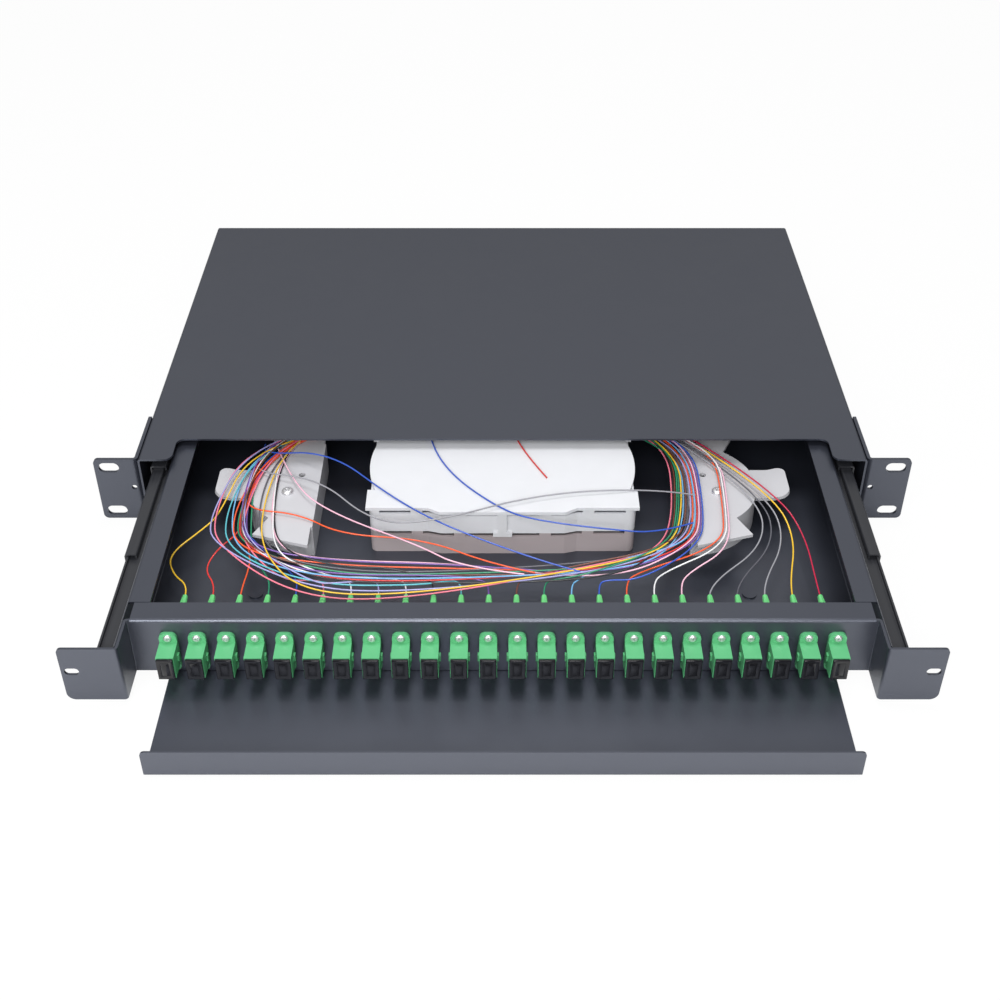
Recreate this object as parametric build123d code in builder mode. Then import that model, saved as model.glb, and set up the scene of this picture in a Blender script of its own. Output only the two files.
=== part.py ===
from build123d import *
import math
import os

# Sliding fibre patch drawer for a 19 inch rack, one unit high, in millimetres.
# X runs to the right, Y to the back and Z up. The origin is the centre of the
# rack-ear hole pattern, on the front face of the rack ears. The drawer is modelled
# part way out, with its front cable tray pulled forward.

# Housing
housing_depth = 297.0
housing_height = 44.0
housing_sheet = 1.2
housing_bend = 1.4
notch_side_margin = 20.0
notch_depth = 21.0
notch_radius = 5.0
base_fit = 0.15
base_flange_height = 11.0
inlet_side_margin = 65.0
inlet_hole_diameter = 20.0
inlet_z = 4.0

# Rack ears and their holes
rack_width = 482.6
rack_ear_reach = 26.3
rack_hole_margin = 8.75
rack_hole_spacing_z = 31.75
rack_slot_length = 12.0
rack_slot_width = 6.8
rack_ear_height = 43.6
rack_ear_sheet = 2.0
rack_ear_bend = 2.0
rack_ear_leg = 45.0
rack_ear_corner = 3.0
ear_screw_y = 24.0
ear_screw_spacing = 24.0
ear_screw_head_diameter = 7.0
ear_screw_head_height = 1.5
lock_side_reach = 4.5
lock_z = 1.5
lock_thread_diameter = 3.3

# Drawer travel: how far it is out as modelled
drawer_out = 155.3
closed_gap = 0.5

# Drawer pan
drawer_height = 35.8
drawer_depth = 264.5
drawer_sheet = 1.2
drawer_bend = 1.4
drawer_flange = 12.5
drawer_rear_lip = 12.0

# Front panel with its forward returns and ears
panel_sheet = 1.5
panel_height = 35.6
panel_recess = 21.3
panel_bend = 1.1
panel_flange_depth = 14.0
panel_flange_inset = 1.5
panel_fold = 4.0
panel_fit = 0.2
front_ear_reach = 10.0
front_ear_top_corner = 2.5
front_ear_bottom_corner = 4.5
lock_slot_length = 7.6
lock_slot_width = 4.6

# Front cable tray that slides under the drawer
tray_side_margin = 20.9
tray_sheet = 1.0
tray_bend = 1.2
tray_reach = 50.6
tray_lip_height = 17.0
tray_lip_corner = 2.5
tray_rear_cover = 72.0
tray_travel = 48.2
tray_gap = 0.3
tray_rivet_margin = 37.0
tray_rivet_setback = 59.0
tray_rivet_shank_diameter = 4.0
tray_rivet_head_diameter = 9.0
tray_rivet_head_height = 0.6
tray_rivet_top_diameter = 8.0
tray_rivet_top_height = 0.9
tray_rivet_gap = 0.1
tray_rivet_side_gap = 0.4
base_gap = 0.4

# Telescopic slides: three nested rolled channels on each side
rail_sheet = 1.0
rail_bend = 1.0
rail_height = 28.0
rail_thickness = 12.6
rail_lip = 3.0
rail_gap = 0.35
rail_mouth_setback = 2.9
cabinet_rail_front = 4.0
cabinet_rail_length = 270.0
middle_rail_front = 0.8
middle_rail_length = 262.0
drawer_rail_length = 265.0
drawer_rail_front_gap = 1.0
spacer_length = 4.5
spacer_diameter = 10.0
spacer_spacing = 200.0
spacer_setback = 36.0

# Adapter row
adapter_count = 24
adapter_row_margin = 15.5
adapter_z = -3.4
adapter_width = 9.2
adapter_height = 13.8
adapter_front = 13.5
adapter_rear = 14.0
adapter_flange_height = 25.6
adapter_flange_depth = 2.0
adapter_flange_corner = 3.2
adapter_clip_width = 11.0
adapter_clip_depth = 2.5
adapter_clip_height = 4.0
adapter_clip_front = 4.0
adapter_wall_side = 0.8
adapter_wall_end = 0.9
adapter_socket_depth = 8.0
adapter_fit = 0.15
cap_fit = 0.2
cap_end_gap = 0.3
cap_seat_gap = 0.1
cap_proud = 1.8
cap_head_inset = 0.3
cap_chamfer = 0.7

# Pigtail connectors behind the adapters
connector_width = 7.4
connector_height = 9.0
connector_length = 6.0
boot_length = 20.5
boot_base_diameter = 6.6
boot_tip_diameter = 2.8
boot_sides = 8

# Splice trays, two in a stack, and their lid
splice_lane = 33.5
splice_depth = 85.0
splice_front = -37.0
splice_height = 15.0
splice_wall = 1.6
splice_corner = 4.0
splice_bulge_share = 0.56
splice_bulge = 2.0
splice_bulge_ramp = 7.0
splice_window_count = 6
splice_window_margin = 2.7
splice_window_share = 0.73
splice_window_height = 2.4
splice_spool_share = 0.13
splice_spool_spacing_share = 0.55
splice_holder_share = 0.235
splice_holder_depth = 22.0
splice_holder_height = 6.0
splice_groove_count = 6
splice_groove_share = 0.5
lid_thickness = 2.0
lid_strip_overhang = 1.75
lid_strip_depth = 17.0
lid_waist_inset = 2.7
lid_bulge = 4.0
lid_lobe_overhang = 2.0
latch_stem_width = 5.0
latch_bar_width = 11.0
latch_bar_height = 3.0
latch_depth = 1.5

# Fibre guides beside the splice trays
guide_wall_distance = 86.7
guide_y = 0.0
guide_radius = 41.0
guide_wall = 2.0
guide_plate = 2.0
guide_height = 21.2
guide_tab_reach = 18.5
guide_tab_width = 27.5
guide_tab_rise = 3.0
guide_tab_corner = 6.0
guide_wing_span = 115.0
guide_wing_x = 32.5
guide_wing_y = 47.5
guide_wing_angle = 52.0
guide_boss_diameter = 8.0
guide_screw_x = 17.0
guide_screw_y = -8.2
guide_screw_hole_diameter = 4.0
guide_screw_shank_diameter = 3.6
guide_screw_shank_length = 6.0
guide_screw_head_diameter = 7.0
guide_screw_head_height = 2.2
guide_hole_x = 10.3
guide_hole_y = 9.0
guide_hole_diameter = 4.0

# Pigtail fibres: a loop that lies on both guides, the leads that join it and the loose ends
fibre_diameter = 0.9
loop_width = 18.0
loop_height = 4.0
loop_corner = 50.0
loop_overhang = 6.0
loop_over_rib = 12.0
loop_front_setback = 2.0
loop_rear_distance = 28.0
lead_straight = 12.0
lead_drift = 22.0
lid_lay = 0.6

# Rear cable grommets
grommet_bore = 12.0
grommet_flange_diameter = 26.0
grommet_flange_depth = 2.0
grommet_fit = 0.1

# Widths worked out from the sizes above, from the rack inwards
housing_width = rack_width - 2 * rack_ear_reach
rack_hole_spacing_x = rack_width - 2 * rack_hole_margin
lock_spacing = housing_width + 2 * lock_side_reach
front_ear_width = housing_width + 2 * front_ear_reach
notch_width = housing_width - 2 * notch_side_margin
inlet_spacing = housing_width - 2 * inlet_side_margin
housing_wall_x = housing_width / 2 - housing_sheet
cabinet_rail_x = housing_wall_x - spacer_length
drawer_wall_x = cabinet_rail_x - rail_thickness
tray_width = 2 * (drawer_wall_x - tray_side_margin)
tray_rivet_x = tray_width / 2 - tray_rivet_margin
adapter_pitch = 2 * (drawer_wall_x - adapter_row_margin) / adapter_count
adapter_xs = [(i - (adapter_count - 1) / 2) * adapter_pitch for i in range(adapter_count)]
guide_chord_x = drawer_wall_x - guide_wall_distance
splice_half = guide_chord_x - splice_lane

# Levels worked out from the sizes above
base_z = -housing_height / 2
base_top = base_z + housing_sheet
rivet_head_z = base_top + base_gap
tray_z = rivet_head_z + tray_rivet_head_height + tray_rivet_gap
drawer_z = tray_z + tray_sheet + tray_gap
drawer_floor_top = drawer_z + drawer_sheet

# Planes across the depth
ear_front = -drawer_out
panel_front = ear_front + panel_recess
panel_back = panel_front + panel_sheet
pan_front = panel_back + panel_fit
pan_rear = pan_front + drawer_depth
closing_travel = drawer_out - panel_sheet - closed_gap
adapter_face = panel_front - adapter_front
adapter_back = panel_back + adapter_rear
boot_tip_y = adapter_back + connector_length + boot_length
splice_rear = splice_front + splice_depth
splice_mid_y = splice_front + splice_depth / 2


def finish(part, name):
    """Label a finished piece and write it to its own file."""
    part.label = name
    export_step(part, f"parts/{name}.step")


def bent_sheet(points, thickness, radius, plane):
    """Sketch the section of a bent sheet along its centre line."""
    with BuildSketch(plane) as section:
        with BuildLine():
            FilletPolyline(*points, radius=radius)
        trace(line_width=thickness)
    return section.sketch


os.makedirs("parts", exist_ok=True)

# Housing cover: top and both sides, bent from one sheet, with the front notch
side_line = (housing_width - housing_sheet) / 2
top_line = (housing_height - housing_sheet) / 2
with BuildPart() as housing_cover:
    extrude(
        bent_sheet(
            [(-side_line, base_z), (-side_line, top_line), (side_line, top_line), (side_line, base_z)],
            housing_sheet,
            housing_bend,
            Plane.XZ,
        ),
        amount=-housing_depth,
    )
    with BuildSketch(Plane.XY):
        with Locations((0, notch_depth / 2)):
            Rectangle(notch_width, notch_depth)
    extrude(amount=housing_height, mode=Mode.SUBTRACT)
    notch_edges = housing_cover.edges().filter_by(Axis.Z).filter_by(
        lambda edge: abs(abs(edge.center().X) - notch_width / 2) < 0.1
    )
    fillet(notch_edges, notch_radius)
finish(housing_cover.part, "housing_cover")

# Housing base: floor with turned-up sides and the rear wall with two cable holes
base_half = housing_wall_x - base_fit
base_line = base_half - housing_sheet / 2
rear_wall_height = housing_height - 2 * housing_sheet - base_fit
with BuildPart() as housing_base:
    extrude(
        bent_sheet(
            [
                (-base_line, base_z + base_flange_height),
                (-base_line, base_z + housing_sheet / 2),
                (base_line, base_z + housing_sheet / 2),
                (base_line, base_z + base_flange_height),
            ],
            housing_sheet,
            housing_bend,
            Plane.XZ,
        ),
        amount=-housing_depth,
    )
    with BuildSketch(Plane.XZ.offset(housing_sheet - housing_depth)):
        with Locations((0, base_top + rear_wall_height / 2)):
            Rectangle(2 * base_half, rear_wall_height)
        with Locations((0, inlet_z)):
            with GridLocations(inlet_spacing, 1, 2, 1):
                Circle(inlet_hole_diameter / 2, mode=Mode.SUBTRACT)
    extrude(amount=-housing_sheet)
    rear_corners = housing_base.edges().filter_by(Axis.Y).group_by(Axis.Z)[-1]
    fillet(rear_corners, housing_bend)
finish(housing_base.part, "housing_base")

# Rack ears: an L bracket on each side with two rack slots and the lock thread
ear_x = housing_width / 2
with BuildPart() as rack_ear_right:
    extrude(
        bent_sheet(
            [
                (ear_x + rack_ear_sheet / 2, rack_ear_leg),
                (ear_x + rack_ear_sheet / 2, rack_ear_sheet / 2),
                (rack_width / 2, rack_ear_sheet / 2),
            ],
            rack_ear_sheet,
            rack_ear_bend,
            Plane.XY.offset(-rack_ear_height / 2),
        ),
        amount=rack_ear_height,
    )
    outer_edges = rack_ear_right.edges().filter_by(Axis.Y).group_by(Axis.X)[-1]
    fillet(outer_edges, rack_ear_corner)
    with BuildSketch(Plane.XZ):
        with Locations((rack_hole_spacing_x / 2, 0)):
            with GridLocations(1, rack_hole_spacing_z, 1, 2):
                SlotOverall(rack_slot_length, rack_slot_width)
        with Locations((lock_spacing / 2, lock_z)):
            Circle(lock_thread_diameter / 2)
    extrude(amount=-rack_ear_sheet, mode=Mode.SUBTRACT)
finish(rack_ear_right.part, "rack_ear_right")

with BuildPart() as rack_ear_left:
    mirror(rack_ear_right.part, about=Plane.YZ)
finish(rack_ear_left.part, "rack_ear_left")

# Screw heads that hold the rack ears to the housing sides
with BuildPart() as ear_screws:
    for side in (-1, 1):
        leg_plane = Plane((side * (ear_x + rack_ear_sheet), ear_screw_y, 0), x_dir=(0, 1, 0), z_dir=(side, 0, 0))
        with BuildSketch(leg_plane):
            with GridLocations(1, ear_screw_spacing, 1, 2):
                Circle(ear_screw_head_diameter / 2)
        extrude(amount=ear_screw_head_height)
finish(ear_screws.part, "ear_screws")

# Slide sections, from the outside in. Each channel runs inside the one before it
cabinet_line_x = cabinet_rail_x - rail_sheet / 2
cabinet_line_z = (rail_height - rail_sheet) / 2
cabinet_lip_x = drawer_wall_x + rail_mouth_setback + rail_sheet / 2
middle_line_x = cabinet_line_x - rail_sheet - rail_gap
middle_line_z = cabinet_line_z - rail_sheet - rail_gap
middle_lip_x = cabinet_lip_x + rail_sheet + rail_gap
brim_x = middle_line_x - rail_sheet - rail_gap
brim_z = middle_line_z - rail_sheet / 2 - rail_gap
hat_z = middle_line_z + rail_sheet / 2 - rail_lip - rail_gap - rail_sheet / 2
middle_rest = middle_rail_front - closing_travel / 2
drawer_rail_front = ear_front + panel_sheet + drawer_rail_front_gap


def channel(web_x, web_z, lip_x):
    """Centre line of a channel that opens towards the drawer, with lips at its mouth."""
    tip_z = web_z + rail_sheet / 2 - rail_lip
    return [
        (lip_x, tip_z),
        (lip_x, web_z),
        (web_x, web_z),
        (web_x, -web_z),
        (lip_x, -web_z),
        (lip_x, -tip_z),
    ]


hat = [
    (brim_x, brim_z),
    (brim_x, hat_z),
    (drawer_wall_x + rail_sheet / 2, hat_z),
    (drawer_wall_x + rail_sheet / 2, -hat_z),
    (brim_x, -hat_z),
    (brim_x, -brim_z),
]

with BuildPart() as cabinet_rail_right:
    extrude(
        bent_sheet(
            channel(cabinet_line_x, cabinet_line_z, cabinet_lip_x),
            rail_sheet,
            rail_bend,
            Plane.XZ.offset(-cabinet_rail_front),
        ),
        amount=-cabinet_rail_length,
    )
finish(cabinet_rail_right.part, "cabinet_rail_right")

with BuildPart() as cabinet_rail_left:
    mirror(cabinet_rail_right.part, about=Plane.YZ)
finish(cabinet_rail_left.part, "cabinet_rail_left")

with BuildPart() as middle_rail_right:
    extrude(
        bent_sheet(
            channel(middle_line_x, middle_line_z, middle_lip_x),
            rail_sheet,
            rail_bend,
            Plane.XZ.offset(-middle_rest),
        ),
        amount=-middle_rail_length,
    )
finish(middle_rail_right.part, "middle_rail_right")

with BuildPart() as middle_rail_left:
    mirror(middle_rail_right.part, about=Plane.YZ)
finish(middle_rail_left.part, "middle_rail_left")

with BuildPart() as drawer_rail_right:
    extrude(
        bent_sheet(hat, rail_sheet, rail_bend, Plane.XZ.offset(-drawer_rail_front)),
        amount=-drawer_rail_length,
    )
finish(drawer_rail_right.part, "drawer_rail_right")

with BuildPart() as drawer_rail_left:
    mirror(drawer_rail_right.part, about=Plane.YZ)
finish(drawer_rail_left.part, "drawer_rail_left")

# Spacers between the housing walls and the cabinet rails
with BuildPart() as rail_spacers:
    for side in (-1, 1):
        wall_plane = Plane(
            (side * cabinet_rail_x, cabinet_rail_front + spacer_setback + spacer_spacing / 2, 0),
            x_dir=(0, 1, 0),
            z_dir=(side, 0, 0),
        )
        with BuildSketch(wall_plane):
            with GridLocations(spacer_spacing, 1, 2, 1):
                Circle(spacer_diameter / 2)
        extrude(amount=spacer_length)
finish(rail_spacers.part, "rail_spacers")

# Drawer pan: floor and sides with inward top flanges, and a low rear lip
pan_line_x = drawer_wall_x - drawer_sheet / 2
pan_line_low = drawer_z + drawer_sheet / 2
pan_line_high = drawer_z + drawer_height - drawer_sheet / 2
pan_inner_x = drawer_wall_x - drawer_sheet
wall_front = ear_front + panel_sheet + drawer_rail_front_gap
flange_front = panel_front + panel_flange_depth + panel_fit
rivet_y = panel_front + tray_rivet_setback
with BuildPart() as drawer_pan:
    extrude(
        bent_sheet(
            [
                (drawer_flange - drawer_wall_x, pan_line_high),
                (-pan_line_x, pan_line_high),
                (-pan_line_x, pan_line_low),
                (pan_line_x, pan_line_low),
                (pan_line_x, pan_line_high),
                (drawer_wall_x - drawer_flange, pan_line_high),
            ],
            drawer_sheet,
            drawer_bend,
            Plane.XZ.offset(-wall_front),
        ),
        amount=wall_front - pan_rear,
    )
    with BuildSketch(Plane.XY.offset(drawer_z)):
        with Locations((0, (wall_front + pan_front) / 2)):
            Rectangle(2 * pan_inner_x, pan_front - wall_front)
    extrude(amount=drawer_height, mode=Mode.SUBTRACT)
    with BuildSketch(Plane.XY.offset(drawer_z + drawer_height)):
        with Locations((0, (wall_front + flange_front) / 2)):
            Rectangle(2 * pan_inner_x, flange_front - wall_front)
    extrude(amount=-drawer_height / 2, mode=Mode.SUBTRACT)
    with BuildSketch(Plane.XZ.offset(drawer_sheet - pan_rear)):
        with Locations((0, drawer_floor_top + drawer_rear_lip / 2)):
            Rectangle(2 * pan_inner_x, drawer_rear_lip)
    extrude(amount=-drawer_sheet)
    with BuildSketch(Plane.XY.offset(drawer_z)):
        with Locations((0, rivet_y)):
            with GridLocations(2 * tray_rivet_x, 1, 2, 1):
                Circle(tray_rivet_shank_diameter / 2 + tray_rivet_gap)
    extrude(amount=drawer_sheet, mode=Mode.SUBTRACT)
finish(drawer_pan.part, "drawer_pan")

# Front panel: recessed adapter plate, forward returns and ears, bent from one sheet
return_line = pan_inner_x - panel_fit - panel_sheet / 2
panel_line = panel_front + panel_sheet / 2
ear_line = ear_front + panel_sheet / 2
panel_top = drawer_z + panel_height
panel_flange_half = return_line - panel_sheet / 2 - panel_flange_inset
with BuildPart() as front_panel:
    extrude(
        bent_sheet(
            [
                (-front_ear_width / 2, ear_line),
                (-return_line, ear_line),
                (-return_line, panel_line),
                (return_line, panel_line),
                (return_line, ear_line),
                (front_ear_width / 2, ear_line),
            ],
            panel_sheet,
            panel_bend,
            Plane.XY.offset(drawer_z),
        ),
        amount=panel_height,
    )
    ear_edges = front_panel.edges().filter_by(Axis.Y).filter_by(
        lambda edge: abs(abs(edge.center().X) - front_ear_width / 2) < 0.1
    )
    fillet(ear_edges.group_by(Axis.Z)[-1], front_ear_top_corner)
    fillet(ear_edges.group_by(Axis.Z)[0], front_ear_bottom_corner)
    with BuildSketch(Plane.XZ.offset(-panel_back)):
        with Locations((0, panel_top - panel_fold / 2)):
            Rectangle(2 * panel_flange_half, panel_fold)
    extrude(amount=panel_sheet, mode=Mode.SUBTRACT)
    extrude(
        bent_sheet(
            [
                (panel_line, panel_top - panel_fold),
                (panel_line, panel_top - panel_sheet / 2),
                (panel_front + panel_flange_depth, panel_top - panel_sheet / 2),
            ],
            panel_sheet,
            panel_bend,
            Plane.YZ,
        ),
        amount=panel_flange_half,
        both=True,
    )
    with BuildSketch(Plane.XZ.offset(-panel_back)):
        with Locations((0, adapter_z)):
            with GridLocations(adapter_pitch, 1, adapter_count, 1):
                Rectangle(adapter_width + 2 * adapter_fit, adapter_height + 2 * adapter_fit)
    extrude(amount=panel_sheet, mode=Mode.SUBTRACT)
    with BuildSketch(Plane.XZ.offset(-ear_front)):
        with Locations((0, lock_z)):
            with GridLocations(lock_spacing, 1, 2, 1):
                SlotOverall(lock_slot_length, lock_slot_width)
    extrude(amount=-panel_sheet, mode=Mode.SUBTRACT)
finish(front_panel.part, "front_panel")

# Cable tray: a flat sheet under the drawer with an upright front lip
tray_front = ear_front - tray_reach
tray_rear = panel_front + tray_rear_cover
tray_lip_line = tray_front + tray_sheet / 2
tray_floor_line = tray_z + tray_sheet / 2
tray_slot_width = tray_rivet_shank_diameter + 2 * tray_rivet_side_gap
tray_slot_length = tray_travel + tray_slot_width
with BuildPart() as cable_tray:
    extrude(
        bent_sheet(
            [
                (tray_lip_line, tray_z + tray_lip_height),
                (tray_lip_line, tray_floor_line),
                (tray_rear, tray_floor_line),
            ],
            tray_sheet,
            tray_bend,
            Plane.YZ,
        ),
        amount=tray_width / 2, both=True,
    )
    lip_edges = cable_tray.edges().filter_by(Axis.Y).group_by(Axis.Z)[-1]
    fillet(lip_edges, tray_lip_corner)
    with BuildSketch(Plane.XY.offset(tray_z)):
        with Locations((0, rivet_y - tray_travel / 2)):
            with GridLocations(2 * tray_rivet_x, 1, 2, 1):
                SlotOverall(tray_slot_length, tray_slot_width, rotation=90)
    extrude(amount=tray_sheet, mode=Mode.SUBTRACT)
finish(cable_tray.part, "cable_tray")

# Shoulder rivets that carry the cable tray in its slots
with BuildPart() as tray_rivets:
    with BuildSketch(Plane.XY.offset(rivet_head_z)):
        with Locations((0, rivet_y)):
            with GridLocations(2 * tray_rivet_x, 1, 2, 1):
                Circle(tray_rivet_head_diameter / 2)
    extrude(amount=tray_rivet_head_height)
    with BuildSketch(Plane.XY.offset(rivet_head_z)):
        with Locations((0, rivet_y)):
            with GridLocations(2 * tray_rivet_x, 1, 2, 1):
                Circle(tray_rivet_shank_diameter / 2)
    extrude(amount=drawer_floor_top - rivet_head_z)
    with BuildSketch(Plane.XY.offset(drawer_floor_top)):
        with Locations((0, rivet_y)):
            with GridLocations(2 * tray_rivet_x, 1, 2, 1):
                Circle(tray_rivet_top_diameter / 2)
    extrude(amount=tray_rivet_top_height)
finish(tray_rivets.part, "tray_rivets")

# Adapters: a body through the panel, an arched screw flange and an open front socket
socket_width = adapter_width - 2 * adapter_wall_side
socket_height = adapter_height - 2 * adapter_wall_end
with BuildPart() as adapters:
    with BuildSketch(Plane.XZ.offset(-adapter_back)):
        with Locations((0, adapter_z)):
            with GridLocations(adapter_pitch, 1, adapter_count, 1):
                Rectangle(adapter_width, adapter_height)
    extrude(amount=adapter_back - adapter_face)
    with BuildSketch(Plane.XZ.offset(-panel_front)):
        with Locations((0, adapter_z)):
            with GridLocations(adapter_pitch, 1, adapter_count, 1):
                RectangleRounded(adapter_width, adapter_flange_height, adapter_flange_corner)
    extrude(amount=adapter_flange_depth)
    with BuildSketch(Plane.XZ.offset(-panel_front + adapter_clip_front)):
        with Locations((0, adapter_z)):
            with GridLocations(adapter_pitch, 1, adapter_count, 1):
                Rectangle(adapter_clip_width, adapter_clip_height)
    extrude(amount=adapter_clip_depth)
    with BuildSketch(Plane.XZ.offset(-adapter_face)):
        with Locations((0, adapter_z)):
            with GridLocations(adapter_pitch, 1, adapter_count, 1):
                Rectangle(socket_width, socket_height)
    extrude(amount=-adapter_socket_depth, mode=Mode.SUBTRACT)
finish(adapters.part, "adapters")

# Dust caps: a plug in each adapter's front socket, with a head over the adapter's rim
cap_front = adapter_face - cap_proud
cap_depth = cap_proud + adapter_socket_depth - cap_end_gap
for number, cap_x in enumerate(adapter_xs, start=1):
    with BuildPart() as dust_cap:
        with BuildSketch(Plane.XZ.offset(-cap_front)):
            with Locations((cap_x, adapter_z)):
                Rectangle(socket_width - 2 * cap_fit, socket_height - 2 * cap_fit)
        extrude(amount=-cap_depth)
        with BuildSketch(Plane.XZ.offset(-cap_front)):
            with Locations((cap_x, adapter_z)):
                Rectangle(adapter_width - 2 * cap_head_inset, adapter_height - 2 * cap_head_inset)
        extrude(amount=cap_seat_gap - cap_proud)
        chamfer(dust_cap.faces().sort_by(Axis.Y)[0].edges(), cap_chamfer)
    finish(dust_cap.part, f"dust_cap_{number:02d}")

# Pigtail connectors: a housing on the back of each adapter and a tapered boot
with BuildPart() as pigtail_connectors:
    with BuildSketch(Plane.XZ.offset(-adapter_back)):
        with Locations((0, adapter_z)):
            with GridLocations(adapter_pitch, 1, adapter_count, 1):
                Rectangle(connector_width, connector_height)
    extrude(amount=-connector_length)
    for boot_x in adapter_xs:
        boot_base = Plane((boot_x, adapter_back + connector_length, adapter_z), x_dir=(1, 0, 0), z_dir=(0, 1, 0))
        with BuildSketch(boot_base):
            RegularPolygon(boot_base_diameter / 2, boot_sides)
        with BuildSketch(boot_base.offset(boot_length)):
            RegularPolygon(boot_tip_diameter / 2, boot_sides)
        loft()
finish(pigtail_connectors.part, "pigtail_connectors")

# Splice trays: open boxes with a bulged front, bend spools and a grooved splice holder
bulge_half = splice_half * splice_bulge_share
window_pitch = 2 * (splice_half - splice_window_margin) / splice_window_count
spool_radius = 2 * splice_half * splice_spool_share
holder_width = 2 * splice_half * splice_holder_share
groove_pitch = holder_width / splice_groove_count


def splice_tray(floor_z):
    """One splice tray of the stack, standing on the given level."""
    with BuildPart() as tray:
        with BuildSketch(Plane.XY.offset(floor_z)) as outline:
            with BuildLine():
                Polyline(
                    (-splice_half, splice_rear),
                    (-splice_half, splice_front),
                    (-bulge_half, splice_front),
                    (splice_bulge_ramp - bulge_half, splice_front - splice_bulge),
                    (bulge_half - splice_bulge_ramp, splice_front - splice_bulge),
                    (bulge_half, splice_front),
                    (splice_half, splice_front),
                    (splice_half, splice_rear),
                    close=True,
                )
            make_face()
            corners = outline.vertices().filter_by(lambda vertex: abs(abs(vertex.X) - splice_half) < 0.1)
            fillet(corners, splice_corner)
        extrude(amount=splice_height)
        offset(amount=-splice_wall, openings=tray.faces().sort_by(Axis.Z)[-1])
        with BuildSketch(Plane.XY.offset(floor_z + splice_wall)):
            with Locations((0, splice_mid_y)):
                with GridLocations(2 * splice_half * splice_spool_spacing_share, 1, 2, 1):
                    Circle(spool_radius)
                    Circle(spool_radius - splice_wall, mode=Mode.SUBTRACT)
        extrude(amount=splice_height - 2 * splice_wall)
        with BuildSketch(Plane.XY.offset(floor_z + splice_wall)):
            with Locations((0, splice_mid_y)):
                Rectangle(holder_width, splice_holder_depth)
        extrude(amount=splice_holder_height)
        with BuildSketch(Plane.XY.offset(floor_z + splice_wall + splice_holder_height)):
            with Locations((0, splice_mid_y)):
                with GridLocations(groove_pitch, 1, splice_groove_count, 1):
                    Rectangle(groove_pitch * splice_groove_share, splice_holder_depth)
        extrude(amount=-splice_holder_height / 2, mode=Mode.SUBTRACT)
        with BuildSketch(Plane.XZ.offset(-splice_front - splice_wall)):
            with Locations((0, floor_z + splice_height - splice_window_height / 2)):
                with GridLocations(window_pitch, 1, splice_window_count, 1):
                    Rectangle(window_pitch * splice_window_share, splice_window_height)
        extrude(amount=splice_wall + splice_bulge + splice_wall, mode=Mode.SUBTRACT)
    return tray.part


splice_tray_lower = splice_tray(drawer_floor_top)
finish(splice_tray_lower, "splice_tray_lower")

splice_tray_upper = splice_tray(drawer_floor_top + splice_height)
finish(splice_tray_upper, "splice_tray_upper")

# Splice lid: front and rear strips with round lobes between them, and a lip over the bulge
lid_z = drawer_floor_top + 2 * splice_height
lobe_front = splice_front + lid_strip_depth
lobe_rear = splice_rear - lid_strip_depth
lid_waist = splice_half - lid_waist_inset
lid_lobe = splice_half + lid_lobe_overhang
with BuildPart() as splice_lid:
    with BuildSketch(Plane.XY.offset(lid_z)):
        for strip_y in (splice_front, lobe_rear):
            with Locations((0, strip_y + lid_strip_depth / 2)):
                Rectangle(2 * (splice_half + lid_strip_overhang), lid_strip_depth)
        with BuildLine():
            Line((-lid_waist, lobe_front), (lid_waist, lobe_front))
            ThreePointArc((lid_waist, lobe_front), (lid_lobe, splice_mid_y), (lid_waist, lobe_rear))
            Line((lid_waist, lobe_rear), (-lid_waist, lobe_rear))
            ThreePointArc((-lid_waist, lobe_rear), (-lid_lobe, splice_mid_y), (-lid_waist, lobe_front))
        make_face()
        with BuildLine():
            Polyline(
                (-bulge_half, lobe_front),
                (-bulge_half, splice_front),
                (splice_bulge_ramp - bulge_half, splice_front - lid_bulge),
                (bulge_half - splice_bulge_ramp, splice_front - lid_bulge),
                (bulge_half, splice_front),
                (bulge_half, lobe_front),
                close=True,
            )
        make_face()
    extrude(amount=lid_thickness)
finish(splice_lid.part, "splice_lid")

# Latch: a T on the front of the stack that holds the upper tray to the lower one
latch_y = splice_front - splice_bulge
with BuildPart() as splice_latch:
    with BuildSketch(Plane.XZ.offset(-latch_y)):
        with Locations((0, lid_z - splice_height / 2)):
            Rectangle(latch_stem_width, splice_height)
        with Locations((0, lid_z - splice_height)):
            Rectangle(latch_bar_width, latch_bar_height)
    extrude(amount=latch_depth)
finish(splice_latch.part, "splice_latch")

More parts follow.
